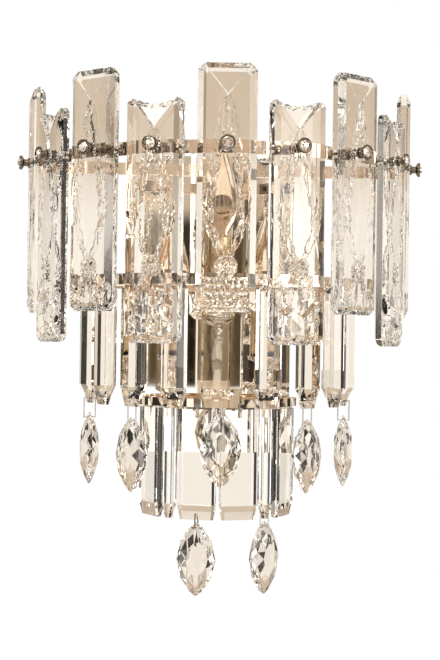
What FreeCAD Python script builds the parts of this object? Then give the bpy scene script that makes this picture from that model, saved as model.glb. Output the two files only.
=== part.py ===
import FreeCAD, Part
import math
import os
from FreeCAD import Placement, Rotation, Vector

# Crystal wall sconce in three half-round tiers.
# Millimetres, +Z up, front towards -Y, origin on the wall behind the middle of the back plate.
# Every crystal of a tier is drawn on the tier's middle line, at its own distance from the
# tier's centre, and is then turned round that centre to its place.

doc = FreeCAD.newDocument("wall_sconce")
sheet = doc.addObject("Spreadsheet::Sheet", "sizes")

SIZES = {
    # back plate, a shallow pan with its rim on the wall
    "plate_width": 146.0,
    "plate_height": 296.0,
    "plate_depth": 20.0,
    "plate_gauge": 1.2,
    "plate_corner": 6.0,
    # wall bracket inside the pan
    "bracket_width": 32.0,
    "bracket_length": 200.0,
    "bracket_gauge": 2.0,
    "wall_hole_spacing": 160.0,
    "wall_hole_radius": 2.75,
    "cable_hole_radius": 8.0,
    "stud_spacing": 120.0,
    "stud_radius": 2.0,
    "cap_nut_radius": 6.0,
    "cap_nut_length": 8.0,
    "screw_radius": 2.0,
    # fits
    "fit_gap": 0.2,
    "hang_gap": 0.5,
    # top tier
    "top_ring_radius": 170.0,
    "top_ring_height": 12.0,
    "ring_gauge": 2.5,
    "knob_level": 134.0,
    "tier_step": 20.0,
    "slab_width": 52.0,
    "slab_length": 217.0,
    "slab_thickness": 13.0,
    "slab_corner": 6.0,
    "slab_bevel": 7.0,
    "slab_bevel_depth": 3.5,
    "slab_standoff": 6.0,
    "high_slab_rise": 71.0,
    "low_slab_rise": 43.0,
    "vee_length": 29.0,
    "high_vee_depth": 2.4,
    "carving_depth": 1.8,
    "leaf_top_drop": 34.0,
    "leaf_length": 128.0,
    "leaf_half_width": 17.0,
    "leaf_rim": 6.5,
    "bud_radius": 6.0,
    "bell_height": 26.0,
    "shaft_radius": 2.5,
    "collar_radius": 4.5,
    "knob_radius": 7.0,
    "knob_length": 12.0,
    "nut_length": 4.0,
    # middle tier
    "middle_ring_radius": 140.0,
    "middle_ring_level": 14.0,
    "middle_ring_height": 10.0,
    "flange_width": 24.0,
    "lip_gauge": 2.0,
    "prism_radius": 127.0,
    "prism_width": 22.0,
    "prism_thickness": 20.0,
    "prism_chamfer": 5.0,
    "prism_length": 113.0,
    "prism_tip": 18.0,
    "front_plate_width": 38.0,
    "front_plate_thickness": 14.0,
    "front_plate_length": 112.0,
    # bottom tier
    "bottom_ring_radius": 80.0,
    "bottom_ring_level": -100.0,
    "bottom_ring_height": 8.0,
    "bottom_flange_width": 20.0,
    "panel_radius": 71.5,
    "panel_width": 36.0,
    "panel_thickness": 12.0,
    "panel_length": 107.0,
    "panel_tip": 14.0,
    "panel_step": 32.0,
    "outer_panel_angle": 61.5,
    "bar_width": 12.0,
    "bar_angle": 40.0,
    "hanger_radius": 2.0,
    "hanger_depth": 10.0,
    # marquise drops and their wire bails
    "drop_length": 70.0,
    "drop_width": 38.0,
    "drop_thickness": 17.0,
    "drop_hole_inset": 5.0,
    "eye_radius": 1.1,
    "bail_wire_radius": 0.6,
    "bail_width": 11.0,
    "bail_length": 19.0,
    "short_bail_length": 12.0,
    "eye_inset": 5.0,
    # candle lamps
    "lower_lamp_spread": 46.0,
    "lower_lamp_reach": 24.0,
    "lower_lamp_level": -54.0,
    "upper_lamp_reach": 40.0,
    "upper_lamp_level": 16.0,
    "arm_radius": 4.0,
    "arm_drop": 14.0,
    "dish_radius": 13.5,
    "rosette_radius": 15.5,
    "sleeve_radius": 12.0,
    "sleeve_length": 46.0,
    "bulb_radius": 17.5,
    "bulb_length": 96.0,
    "bulb_cap_radius": 6.8,
    "bulb_cap_length": 20.0,
}
for row, (name, value) in enumerate(SIZES.items(), start=1):
    sheet.set(f"A{row}", name)
    sheet.set(f"B{row}", str(value))
    sheet.setAlias(f"B{row}", name)
doc.recompute()


def size(name):
    """One driving dimension, read back from the sheet."""
    return float(sheet.get(name))


TIER_COUNT = 9
FLATS_PER_STEP = 4
BAR_SIDES = 10
TIER_HALF = TIER_COUNT // 2
RING_CENTRE = Vector(0, -size("plate_depth"), 0)
nodes = []


# ---------------------------------------------------------------- helpers

def keep(feature, label):
    """Names a finished sub-part and puts it on the list of pieces to write."""
    feature.Label = label
    nodes.append(feature)
    return feature


def new_body(label):
    body = doc.addObject("PartDesign::Body", label)
    body.AllowCompound = True
    return keep(body, label)


def origin_item(body, role):
    for item in body.Origin.OriginFeatures:
        if item.Role == role:
            return item
    raise ValueError(role)


def new_sketch(body, name, role, offset="0", rise="0"):
    """A sketch on one of the body's own origin planes, offset along its normal and raised in it."""
    sketch = body.newObject("Sketcher::SketchObject", name)
    sketch.AttachmentSupport = (origin_item(body, role), "")
    sketch.MapMode = "FlatFace"
    sketch.setExpression("AttachmentOffset.Base.z", offset)
    sketch.setExpression("AttachmentOffset.Base.y", rise)
    return sketch


def ngon(radius, sides, x=0.0, y=0.0):
    """A regular outline round a point."""
    turns = [2 * math.pi * (index + 0.5) / sides for index in range(sides)]
    return [(x + radius * math.cos(turn), y + radius * math.sin(turn)) for turn in turns]


def pad(body, sketch, name, length):
    """A plate from a sketch, as thick as an expression of the sheet says."""
    plate = body.newObject("PartDesign::Pad", name)
    plate.Profile = sketch
    plate.setExpression("Length", length)
    doc.recompute()
    return plate


def add_loop(sketch, points):
    """A closed outline of straight lines."""
    for here, there in zip(points, points[1:] + points[:1]):
        sketch.addGeometry(Part.LineSegment(Vector(*here, 0), Vector(*there, 0)), False)


def add_circle(sketch, x, y, radius):
    sketch.addGeometry(Part.Circle(Vector(x, y, 0), Vector(0, 0, 1), radius), False)


def turned(angle, centre=RING_CENTRE):
    """The place of a piece that is turned round a tier's centre."""
    return Placement(centre, Rotation(Vector(0, 0, 1), angle))


def octagon(half_across, half_along, cut, middle=0.0):
    """A rectangle with its four corners cut at 45 degrees, as eight points."""
    a, b = half_across, half_along
    return [(a, middle + b - cut), (a - cut, middle + b), (-a + cut, middle + b), (-a, middle + b - cut),
            (-a, middle - b + cut), (-a + cut, middle - b), (a - cut, middle - b), (a, middle - b + cut)]


def ruled_loft(body, name, role, sections):
    """A faceted solid through (offset, outline) sections on parallel planes; offsets are expressions."""
    sketches = []
    for index, (offset, outline) in enumerate(sections):
        sketch = new_sketch(body, f"{name}_section_{index}", role, offset)
        add_loop(sketch, outline)
        sketches.append(sketch)
    loft = body.newObject("PartDesign::AdditiveLoft", name)
    loft.Profile = sketches[0]
    loft.Sections = sketches[1:]
    loft.Ruled = True
    doc.recompute()
    return loft


def pocket(body, sketch, name, length, reversed_cut=False, through=False):
    """A cut from a sketch; the volume must drop, or the cut points the wrong way."""
    before = body.Shape.Volume
    cut = body.newObject("PartDesign::Pocket", name)
    cut.Profile = sketch
    cut.Reversed = reversed_cut
    if through:
        cut.Midplane = True
    cut.setExpression("Length", length)
    doc.recompute()
    if body.Shape.Volume >= before:
        raise RuntimeError(f"{name} of {body.Label} cuts nothing")
    return cut


def fan(body, features, angles):
    """Repeats features round the tier's centre, at an even step, from the first angle to the last."""
    pattern = body.newObject("PartDesign::PolarPattern", features[0].Name + "_fan")
    pattern.Originals = features
    pattern.Axis = (origin_item(body, "Z_Axis"), [""])
    pattern.Angle = angles[-1] - angles[0]
    pattern.Occurrences = len(angles)
    body.Tip = pattern
    body.Placement = turned(angles[0])
    doc.recompute()


def facet_solid(faces):
    """A closed solid from flat polygons."""
    made = []
    for corners in faces:
        made.append(Part.Face(Part.makePolygon(list(corners) + [corners[0]])))
    solid = Part.makeSolid(Part.makeShell(made))
    if solid.Volume < 0:
        solid.reverse()
    return solid


def bands(rings):
    """The flat faces between each ring of points and the next."""
    faces = []
    for ring, after in zip(rings, rings[1:]):
        for index in range(len(ring)):
            beside = (index + 1) % len(ring)
            faces.append([ring[index], ring[beside], after[beside], after[index]])
    return faces


def upright_stack(place, sides, profile):
    """A turned upright piece in flats, through (height, radius) rings from its foot to its top."""
    rings = [[place + Vector(x, y, level) for x, y in ngon(radius, sides)] for level, radius in profile]
    return facet_solid([rings[0]] + bands(rings) + [rings[-1]])


def upright_bar(x, y, radius, level, height, sides):
    return upright_stack(Vector(x, y, level), sides, [(0.0, radius), (height, radius)])


def keep_shape(shape, label):
    """A finished sub-part whose form is built from flat faces or from several solids."""
    feature = doc.addObject("Part::Feature", label)
    feature.Shape = shape
    return keep(feature, label)


# ---------------------------------------------------------------- back plate and wall bracket

def slotted(shape, cuts):
    for cut in cuts:
        shape = shape.cut(cut)
    return shape


def bar_to_front(x, z, radius, start, length, sides=BAR_SIDES):
    """A bar, head, nut or hole whose axis runs from the wall side towards the front."""
    corners = [Vector(x + u, -start, z + v) for u, v in ngon(radius, sides)]
    face = Part.Face(Part.makePolygon(corners + [corners[0]]))
    return face.extrude(Vector(0, -length, 0))


LAMPS = {
    "left": (-size("lower_lamp_spread"), size("lower_lamp_reach"), size("lower_lamp_level")),
    "right": (size("lower_lamp_spread"), size("lower_lamp_reach"), size("lower_lamp_level")),
    "upper": (0.0, size("upper_lamp_reach"), size("upper_lamp_level")),
}
STUD_LEVELS = (size("stud_spacing") / 2, -size("stud_spacing") / 2)
RING_SCREW_SPREAD = size("bottom_ring_radius") / 2
RINGS = {
    "top": (size("knob_level") - size("top_ring_height") / 2, size("top_ring_height")),
    "middle": (size("middle_ring_level"), size("middle_ring_height")),
    "bottom": (size("bottom_ring_level"), size("bottom_ring_height")),
}
RING_SCREWS = [(side * RING_SCREW_SPREAD, level + height / 2)
               for level, height in RINGS.values() for side in (-1, 1)]


def make_back_plate():
    body = new_body("back_plate")
    wide, tall = size("plate_width"), size("plate_height")
    sketch = new_sketch(body, "pan_outline", "XZ_Plane")
    add_loop(sketch, octagon(wide / 2, tall / 2, size("plate_corner")))
    pad(body, sketch, "pan", "sizes.plate_depth")
    gauge = size("plate_gauge")
    hollow = new_sketch(body, "pan_hollow", "XZ_Plane")
    add_loop(hollow, octagon(wide / 2 - gauge, tall / 2 - gauge, size("plate_corner")))
    pocket(body, hollow, "hollow", "sizes.plate_depth - sizes.plate_gauge", reversed_cut=True)
    holes = new_sketch(body, "pan_holes", "XZ_Plane", "sizes.plate_depth")
    for level in STUD_LEVELS:
        add_loop(holes, ngon(size("stud_radius") + size("fit_gap"), BAR_SIDES, 0, level))
    for x, z in RING_SCREWS:
        add_loop(holes, ngon(size("screw_radius") + size("fit_gap"), BAR_SIDES, x, z))
    for x, reach, level in LAMPS.values():
        add_loop(holes, ngon(size("arm_radius") + size("fit_gap"), BAR_SIDES, x, level - size("arm_drop")))
    pocket(body, holes, "front_holes", "4 * sizes.plate_gauge", through=True)


def make_wall_bracket():
    body = new_body("wall_bracket")
    sketch = new_sketch(body, "strip_outline", "XZ_Plane")
    add_loop(sketch, octagon(size("bracket_width") / 2, size("bracket_length") / 2, 4.0))
    for side in (-1, 1):
        add_circle(sketch, 0, side * size("wall_hole_spacing") / 2, size("wall_hole_radius"))
        add_loop(sketch, ngon(size("stud_radius") + size("fit_gap"), BAR_SIDES,
                              0, side * size("stud_spacing") / 2))
    add_circle(sketch, 0, 0, size("cable_hole_radius"))
    pad(body, sketch, "strip", "sizes.bracket_gauge")


def make_frame_screws():
    """Bracket studs with their nuts, and the screws that hold the rings to the back plate."""
    solids = []
    depth, gauge, bar = size("plate_depth"), size("plate_gauge"), size("ring_gauge")
    stud, screw = size("stud_radius"), size("screw_radius")
    nut_length = size("cap_nut_length")
    for level in STUD_LEVELS:
        rod = bar_to_front(0, level, stud, 0, depth + nut_length / 2)
        foot = bar_to_front(0, level, 2 * stud, size("bracket_gauge"), nut_length / 2, 6)
        nut = bar_to_front(0, level, size("cap_nut_radius"), depth, nut_length * 0.6, 6)
        dome = bar_to_front(0, level, size("cap_nut_radius") * 0.7, depth + nut_length * 0.6,
                            nut_length * 0.4)
        solids.append(rod.fuse([foot, nut, dome]).removeSplitter())
    for x, z in RING_SCREWS:
        shank = bar_to_front(x, z, screw, depth - gauge - screw, gauge + bar + 2 * screw)
        head = bar_to_front(x, z, 1.9 * screw, depth + bar, screw, 6)
        nut = bar_to_front(x, z, 1.9 * screw, depth - gauge - 1.5 * screw, 1.5 * screw, 6)
        solids.append(shank.fuse([head, nut]).removeSplitter())
    keep_shape(Part.makeCompound(solids), "frame_screws")


# ---------------------------------------------------------------- rings

def flat_arc(radius):
    """A half ring's edge, folded in flats; the flats at the tier's angles are square to the shafts."""
    half = math.radians(size("tier_step") / (2 * FLATS_PER_STEP))
    count = int(math.pi / (4 * half) + 0.5)
    reach = radius / math.cos(half)
    turns = [(2 * index + 1) * half for index in range(-count, count)]
    end = radius / math.cos(math.pi / 2 - 2 * half * count)
    corners = [(reach * math.sin(turn), -reach * math.cos(turn)) for turn in turns]
    return [(-end, 0.0)] + corners + [(end, 0.0)]


def half_disc(radius, level, height):
    """Half a disc in front of the back plate's face."""
    rim = [RING_CENTRE + Vector(x, y, level) for x, y in flat_arc(radius)]
    return Part.Face(Part.makePolygon(rim + [rim[0]])).extrude(Vector(0, 0, height))


def rear_bar(radius, level, height):
    gauge = size("ring_gauge")
    corner = Vector(-radius, -size("plate_depth") - gauge, level)
    return Part.makeBox(2 * radius, gauge, height, corner)


def screw_holes(level, height):
    cuts = []
    for side in (-1, 1):
        cuts.append(bar_to_front(side * RING_SCREW_SPREAD, level + height / 2,
                                 size("screw_radius") + size("fit_gap"), size("plate_depth") - 1.0, 10.0))
    return cuts


def tier_angles():
    return [size("tier_step") * place for place in range(-TIER_HALF, TIER_HALF + 1)]


def radial_hole(angle, level, radius, start, length):
    """A shaft's hole along a radius of the tier."""
    bar = bar_to_front(0, level, radius, start, length)
    bar.Placement = turned(angle)
    return bar


def upright_hex(angle, distance, radius, level, height):
    bar = upright_bar(0, -distance, radius, level, height, 6)
    bar.Placement = turned(angle)
    return bar


def make_top_ring():
    level, height = RINGS["top"]
    radius, gauge = size("top_ring_radius"), size("ring_gauge")
    band = half_disc(radius, level, height).cut(half_disc(radius - gauge, level, height))
    ring = band.fuse(rear_bar(radius, level, height))
    holes = [radial_hole(angle, size("knob_level"), size("shaft_radius") + size("fit_gap"),
                         radius - 3 * gauge, 6 * gauge) for angle in tier_angles()]
    keep_shape(slotted(ring, holes + screw_holes(level, height)).removeSplitter(), "ring_top")


def make_angle_ring(label, tier, radius, flange_width, hangers):
    """A ring of angle section: an upright lip with a flange at its foot that carries crystals."""
    level, height = RINGS[tier]
    lip = half_disc(radius, level, height).cut(half_disc(radius - size("lip_gauge"), level, height))
    flange = half_disc(radius, level, size("ring_gauge"))
    flange = flange.cut(half_disc(radius - flange_width, level, size("ring_gauge")))
    ring = lip.fuse([flange, rear_bar(radius, level, height)])
    holes = [upright_hex(angle, distance, size("hanger_radius") + size("fit_gap"),
                         level - 1.0, size("ring_gauge") + 2.0) for angle, distance in hangers]
    keep_shape(slotted(ring, holes + screw_holes(level, height)).removeSplitter(), label)


# ---------------------------------------------------------------- top tier

SLAB_SEAT = "sizes.top_ring_radius + sizes.slab_standoff"
SLAB_FACE = SLAB_SEAT + " + sizes.slab_thickness"


def leaf_half_width(share):
    """Half the leaf's width at a share of its length from the top point: pointed at both ends."""
    return math.sin(math.pi * share) ** 0.8 * (1.0 + 0.25 * math.sin(2 * math.pi * (share - 0.5)))


def leaf_outline(top, length, half_width, chips):
    """A pointed leaf; chips is how deep its margin is nicked."""
    steps = 9
    right = []
    for index in range(1, steps):
        share = index / steps
        nick = chips * (index % 2)
        right.append((half_width * leaf_half_width(share) - nick, top - length * share))
    left = [(-x, z) for x, z in reversed(right)]
    return [(0.0, top)] + right + [(0.0, top - length)] + left


def cut_top_vee(body, top, depth):
    """A V-shaped cut in the slab's top: widest at the top corners of its face, shallower behind."""
    margin = 3.0
    slope = size("vee_length") / (size("slab_width") / 2 - margin)
    sections = []
    for layer, apex in (("0", top - size("vee_length")), (depth, top - margin)):
        sketch = new_sketch(body, f"vee_{len(sections)}", "XZ_Plane", f"{SLAB_FACE} - {layer}")
        spread = (top + margin - apex) / slope
        add_loop(sketch, [(0, apex), (spread, top + margin), (-spread, top + margin)])
        sections.append(sketch)
    cut = body.newObject("PartDesign::SubtractiveLoft", "top_vee")
    cut.Profile = sections[0]
    cut.Sections = sections[1:]
    cut.Ruled = True
    doc.recompute()


def make_slab(label, angle, rise, vee_depth):
    """One crystal slab: bevelled all round on both faces, drilled, and carved with a leaf on a bell."""
    body = new_body(label)
    top = size("knob_level") + rise
    half_wide, half_long = size("slab_width") / 2, size("slab_length") / 2
    middle = top - half_long
    bevel, corner = size("slab_bevel"), size("slab_corner")
    small = octagon(half_wide - bevel, half_long - bevel, corner, middle)
    full = octagon(half_wide, half_long, corner, middle)
    ruled_loft(body, "slab", "XZ_Plane", [
        (SLAB_SEAT, small), (SLAB_SEAT + " + sizes.slab_bevel_depth", full),
        (SLAB_FACE + " - sizes.slab_bevel_depth", full), (SLAB_FACE, small)])
    cut_top_vee(body, top, vee_depth)
    leaf_top = top - size("leaf_top_drop")
    rim = size("leaf_rim")
    carving = new_sketch(body, "leaf_groove", "XZ_Plane", SLAB_FACE)
    add_loop(carving, leaf_outline(leaf_top, size("leaf_length"), size("leaf_half_width"), 1.6))
    add_loop(carving, leaf_outline(leaf_top - 2 * rim, size("leaf_length") - 3 * rim,
                                   size("leaf_half_width") - rim, 0.0))
    pocket(body, carving, "leaf_cut", "sizes.carving_depth")
    bell_foot = middle - half_long + bevel
    bell_top = bell_foot + size("bell_height")
    bell = new_sketch(body, "bell_groove", "XZ_Plane", SLAB_FACE)
    neck, flare = size("bud_radius"), half_wide - bevel - 1.0
    for side in (-1, 1):
        add_loop(bell, [(side * neck, bell_top), (side * (neck + 4.0), bell_top),
                        (side * flare, bell_foot + 5.0), (side * (flare - 5.0), bell_foot + 5.0)])
    pocket(body, bell, "bell_cut", "sizes.carving_depth")
    bud = new_sketch(body, "bud_ring", "XZ_Plane", SLAB_FACE)
    bud_level = bell_top + size("bud_radius") + 3.5
    add_loop(bud, ngon(size("bud_radius") + 1.5, BAR_SIDES, 0, bud_level))
    add_loop(bud, ngon(size("bud_radius") - 1.0, BAR_SIDES, 0, bud_level))
    pocket(body, bud, "bud_cut", "sizes.carving_depth")
    drill = new_sketch(body, "shaft_hole", "XZ_Plane", SLAB_FACE)
    add_loop(drill, ngon(size("shaft_radius") + size("fit_gap"), BAR_SIDES, 0, size("knob_level")))
    pocket(body, drill, "shaft_drilling", "3 * sizes.slab_thickness", through=True)
    body.Placement = turned(angle)


def make_slab_fixings():
    """Shafts with collars behind the slabs, nuts inside the ring and turned knobs in front."""
    angles = tier_angles()
    level, shaft, collar = size("knob_level"), size("shaft_radius"), size("collar_radius")
    ring = size("top_ring_radius")
    face = ring + size("slab_standoff") + size("slab_thickness")
    nut_end = ring - size("ring_gauge") - size("nut_length")
    head, long = size("knob_radius"), size("knob_length")
    tip = face + long * 0.55
    body = new_body("slab_shafts")
    core = new_sketch(body, "shaft_outline", "XZ_Plane", str(nut_end))
    add_loop(core, ngon(shaft, BAR_SIDES, 0, level))
    rim = new_sketch(body, "collar_outline", "XZ_Plane", "sizes.top_ring_radius")
    add_loop(rim, ngon(collar, BAR_SIDES, 0, level))
    fan(body, [pad(body, core, "shaft", str(tip - nut_end)),
               pad(body, rim, "collar", "sizes.slab_standoff")], angles)
    bore = shaft + size("fit_gap") / 2
    body = new_body("shaft_nuts")
    outline = new_sketch(body, "nut_outline", "XZ_Plane", str(nut_end))
    add_loop(outline, ngon(1.25 * collar, 6, 0, level))
    add_loop(outline, ngon(bore, BAR_SIDES, 0, level))
    fan(body, [pad(body, outline, "nut", "sizes.nut_length")], angles)
    profile = [(0.0, 0.72), (0.14, 0.72), (0.22, 0.46), (0.5, 0.5), (0.66, 1.0), (0.84, 1.0),
               (0.93, 0.72), (1.0, 0.3)]
    rings = [[Vector(x, -face - long * share, z) for x, z in ngon(head * swell, 12, 0, level)]
             for share, swell in profile]
    bore_length = tip - face + size("fit_gap")
    knob = facet_solid([rings[0]] + bands(rings) + [rings[-1]])
    knob = knob.cut(bar_to_front(0, level, bore, face, bore_length))
    knobs = []
    for angle in angles:
        copy = knob.copy()
        copy.Placement = turned(angle)
        knobs.append(copy)
    keep_shape(Part.makeCompound(knobs), "slab_knobs")


# ---------------------------------------------------------------- hanging crystals

def eye_cutter(distance, level, thick):
    """The hole for a wire link, through a crystal of a given thickness."""
    sides = 8
    radius = size("eye_radius") / math.cos(math.pi / sides)
    return bar_to_front(0, level, radius, distance - thick, 2 * thick, sides)


def upright_octagon(distance, half_wide, half_thick, cut):
    """The plan section of a hanging crystal at a distance from its tier's centre."""
    return octagon(half_wide, half_thick, cut, -distance)


def make_hanging_crystal(label, angle, distance, top, length, wide, thick, chamfer, tip, eye):
    """A bevelled crystal that hangs under a ring; its lower end is cut to a wedge with kite facets."""
    a, b = wide / 2, thick / 2
    foot = top - length
    brow = min(3.0, chamfer)
    thin = (size("bail_width") - 2 * size("bail_wire_radius") - 2 * size("hang_gap")) / 2
    tongue = foot + size("eye_inset") + size("eye_radius") + 2.0
    half_way = (foot + tip + tongue) / 2
    waist = (b + thin) / 2
    sections = [
        (top, upright_octagon(distance, a - brow, b - brow, chamfer)),
        (top - brow, upright_octagon(distance, a, b, chamfer)),
        (foot + tip, upright_octagon(distance, a, b, chamfer)),
        (half_way, upright_octagon(distance, a, waist, min(chamfer + 0.5, waist * 0.7))),
        (tongue, upright_octagon(distance, a - brow * 0.3, thin, min(chamfer, thin * 0.6))),
        (foot, upright_octagon(distance, a - brow, thin * 0.6, thin * 0.4)),
    ]
    rings = [[Vector(x, y, level) for x, y in outline] for level, outline in sections]
    crystal = facet_solid([rings[0]] + bands(rings) + [rings[-1]])
    socket_depth = size("hanger_depth") + size("fit_gap")
    crystal = crystal.cut(upright_bar(0, -distance, size("hanger_radius") + size("fit_gap"),
                                      top - socket_depth, socket_depth + 1.0, 6))
    if eye:
        crystal = crystal.cut(eye_cutter(distance, foot + size("eye_inset"), thick))
    keep_shape(crystal, label).Placement = turned(angle)


def marquise_ring(count, scale, lift, turn, centre):
    """Points round a pointed oval, at a share of its full size."""
    points = []
    half_long, half_wide = size("drop_length") / 2, size("drop_width") / 2
    arc = (half_long ** 2 + half_wide ** 2) / (2 * half_wide)
    for index in range(count):
        round_way = 2 * math.pi * (index + turn) / count
        z = half_long * math.cos(round_way)
        side = math.copysign(1.0, math.sin(round_way)) if abs(math.sin(round_way)) > 1e-9 else 0.0
        x = side * (math.sqrt(arc ** 2 - z ** 2) - arc + half_wide)
        points.append(centre + Vector(x * scale, -lift, z * scale))
    return points


def make_drop(label, angle, distance, eye_level):
    """A marquise drop cut on both faces, with a drilled eye near its upper point."""
    count = 12
    middle = Vector(0, -distance, eye_level + size("drop_hole_inset") - size("drop_length") / 2)
    half_thick = size("drop_thickness") / 2
    girdle = 0.7
    faces = []
    rims = {}
    for side in (1, -1):
        rim = marquise_ring(count, 1.0, side * girdle, 0.0, middle)
        crown = marquise_ring(count, 0.74, side * half_thick * 0.62, 0.5, middle)
        table = marquise_ring(count, 0.42, side * half_thick, 0.0, middle)
        rims[side] = rim
        for index in range(count):
            after = (index + 1) % count
            faces.append([rim[index], rim[after], crown[index]])
            faces.append([rim[after], crown[after], crown[index]])
            faces.append([crown[index], table[after], table[index]])
            faces.append([crown[index], crown[after], table[after]])
        faces.append(table)
    faces += bands([rims[1], rims[-1]])
    drop = facet_solid(faces).cut(eye_cutter(distance, eye_level, 2 * half_thick))
    keep_shape(drop, label).Placement = turned(angle)


def make_bail(label, angle, distance, upper, lower):
    """A closed wire link through the crystal's eye and the drop's eye, mitred at its corners."""
    half = size("bail_width") / 2
    section = ngon(size("bail_wire_radius"), 8)
    rings = []
    for out, up in ((-1, 1), (1, 1), (1, -1), (-1, -1)):
        y, z = -distance - out * half, upper if up > 0 else lower
        rings.append([Vector(x, y - out * swell, z + up * swell) for x, swell in section])
    keep_shape(facet_solid(bands(rings + rings[:1])), label).Placement = turned(angle)


def hang_drop(name, angle, distance, eye, bail_length):
    """A drop on its bail. The wire lies on the eye's floor above and under the eye's roof below."""
    slack = size("eye_radius") - size("bail_wire_radius")
    upper = eye - slack + 0.1
    lower = upper - bail_length
    make_bail(f"bail_{name}", angle, distance, upper, lower)
    make_drop(f"drop_{name}", angle, distance, lower - slack + 0.1)


def make_hangers(hangers_by_ring):
    """Hexagonal studs with nuts that carry the hanging crystals from the rings' flanges."""
    solids = []
    for tier, hangers in hangers_by_ring.items():
        level = RINGS[tier][0]
        for angle, distance in hangers:
            foot = level - size("hanger_depth")
            nut_level = level + size("ring_gauge")
            radius = size("hanger_radius")
            stud = upright_hex(angle, distance, radius, foot, nut_level - foot)
            nut = upright_hex(angle, distance, 1.9 * radius, nut_level, 1.6 * radius)
            solids.append(stud.fuse(nut).removeSplitter())
    keep_shape(Part.makeCompound(solids), "hanger_studs")


# ---------------------------------------------------------------- candle lamps

def make_lamp(name, spread, reach, level):
    """A cut holder on its arm with a drip dish, a candle sleeve on it and a candle bulb in the sleeve."""
    sides = 14
    depth, gauge = size("plate_depth"), size("plate_gauge")
    place = Vector(spread, -depth - reach, level)
    dish, rosette, arm = size("dish_radius"), size("rosette_radius"), size("arm_radius")
    floor, brim = 0.8, 2.4
    holder = upright_stack(place, sides, [
        (-57.0, 0.8), (-48.0, 4.0), (-43.0, 5.0), (-38.0, 3.0), (-36.5, 7.0), (-31.0, rosette),
        (-27.0, rosette), (-24.0, 8.5), (-22.0, 8.5), (-20.0, 6.5), (-4.0, 6.5), (-1.4, dish - 0.4),
        (brim, dish + 0.8)])
    holder = holder.cut(upright_bar(place.x, place.y, dish - 0.4, level + floor, brim, sides))
    tail = 2.0
    tube = bar_to_front(spread, level - size("arm_drop"), arm, depth - gauge - tail, reach + gauge + tail)
    boss = bar_to_front(spread, level - size("arm_drop"), 2.2 * arm, depth, 2.5)
    keep_shape(holder.fuse([tube, boss]).removeSplitter(), f"lamp_holder_{name}")
    sleeve, tall = size("sleeve_radius"), size("sleeve_length")
    cap, foot = size("bulb_cap_radius"), size("bulb_cap_length")
    fit = size("fit_gap")
    top = level + floor + tall
    candle = upright_bar(place.x, place.y, sleeve, level + floor, tall, sides)
    socket = upright_bar(place.x, place.y, cap + 3 * fit, top - foot - fit, foot + 1.0, sides)
    keep_shape(candle.cut(socket), f"candle_sleeve_{name}")
    bulb, long = size("bulb_radius"), size("bulb_length")
    keep_shape(upright_stack(Vector(place.x, place.y, top), sides, [
        (-foot, 0.45 * cap), (-foot + 3.0, cap), (2.0, cap), (long * 0.07, bulb * 0.5),
        (long * 0.16, bulb * 0.76), (long * 0.26, bulb * 0.95), (long * 0.36, bulb),
        (long * 0.5, bulb * 0.92), (long * 0.68, bulb * 0.68), (long * 0.84, bulb * 0.36),
        (long * 0.96, bulb * 0.12), (long, bulb * 0.03)]), f"bulb_{name}")


# ---------------------------------------------------------------- the whole light

PRISM_EYE = size("middle_ring_level") - size("prism_length") + size("eye_inset")
FRONT_EYE = size("middle_ring_level") - size("front_plate_length") + size("eye_inset")
PANEL_EYE = size("bottom_ring_level") - size("panel_length") + size("eye_inset")
FRONT_RADIUS = size("prism_radius") + (size("prism_thickness") - size("front_plate_thickness")) / 2
middle_hangers = [(angle, FRONT_RADIUS if angle == 0 else size("prism_radius")) for angle in tier_angles()]
bottom_angles = {
    "panel_inner_left": -size("panel_step") / 2,
    "panel_inner_right": size("panel_step") / 2,
    "panel_outer_left": -size("outer_panel_angle"),
    "panel_outer_right": size("outer_panel_angle"),
    "bar_left": -size("bar_angle"),
    "bar_right": size("bar_angle"),
}
bottom_hangers = [(angle, size("panel_radius")) for angle in bottom_angles.values()]

make_back_plate()
make_wall_bracket()
make_frame_screws()
make_top_ring()
make_angle_ring("ring_middle", "middle", size("middle_ring_radius"), size("flange_width"), middle_hangers)
make_angle_ring("ring_bottom", "bottom", size("bottom_ring_radius"), size("bottom_flange_width"),
                bottom_hangers)
for place, angle in enumerate(tier_angles(), start=1):
    steps_from_front = abs(place - 1 - TIER_HALF)
    high = steps_from_front % 2 == 0
    if high:
        make_slab(f"slab_{place}", angle, size("high_slab_rise"), "sizes.high_vee_depth")
    else:
        make_slab(f"slab_{place}", angle, size("low_slab_rise"), "sizes.slab_thickness")
make_slab_fixings()
for place, (angle, distance) in enumerate(middle_hangers, start=1):
    carries_drop = abs(place - 1 - TIER_HALF) % 2 == 0
    if angle == 0:
        make_hanging_crystal(f"prism_{place}", angle, distance, size("middle_ring_level"),
                             size("front_plate_length"), size("front_plate_width"),
                             size("front_plate_thickness"), 2.0, size("prism_tip"), True)
        hang_drop(str(place), angle, distance, FRONT_EYE, size("short_bail_length"))
    else:
        make_hanging_crystal(f"prism_{place}", angle, distance, size("middle_ring_level"),
                             size("prism_length"), size("prism_width"), size("prism_thickness"),
                             size("prism_chamfer"), size("prism_tip"), carries_drop)
        if carries_drop:
            hang_drop(str(place), angle, distance, PRISM_EYE, size("bail_length"))
for label, angle in bottom_angles.items():
    is_bar = label.startswith("bar")
    make_hanging_crystal(label, angle, size("panel_radius"), size("bottom_ring_level"),
                         size("panel_length"), size("bar_width") if is_bar else size("panel_width"),
                         size("panel_thickness"), 2.0, size("panel_tip"),
                         label in ("panel_inner_left", "bar_right"))
hang_drop("low_left", bottom_angles["panel_inner_left"], size("panel_radius"), PANEL_EYE,
          size("short_bail_length"))
hang_drop("low_right", bottom_angles["bar_right"], size("panel_radius"), PANEL_EYE,
          size("short_bail_length"))
make_hangers({"middle": middle_hangers, "bottom": bottom_hangers})
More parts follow.
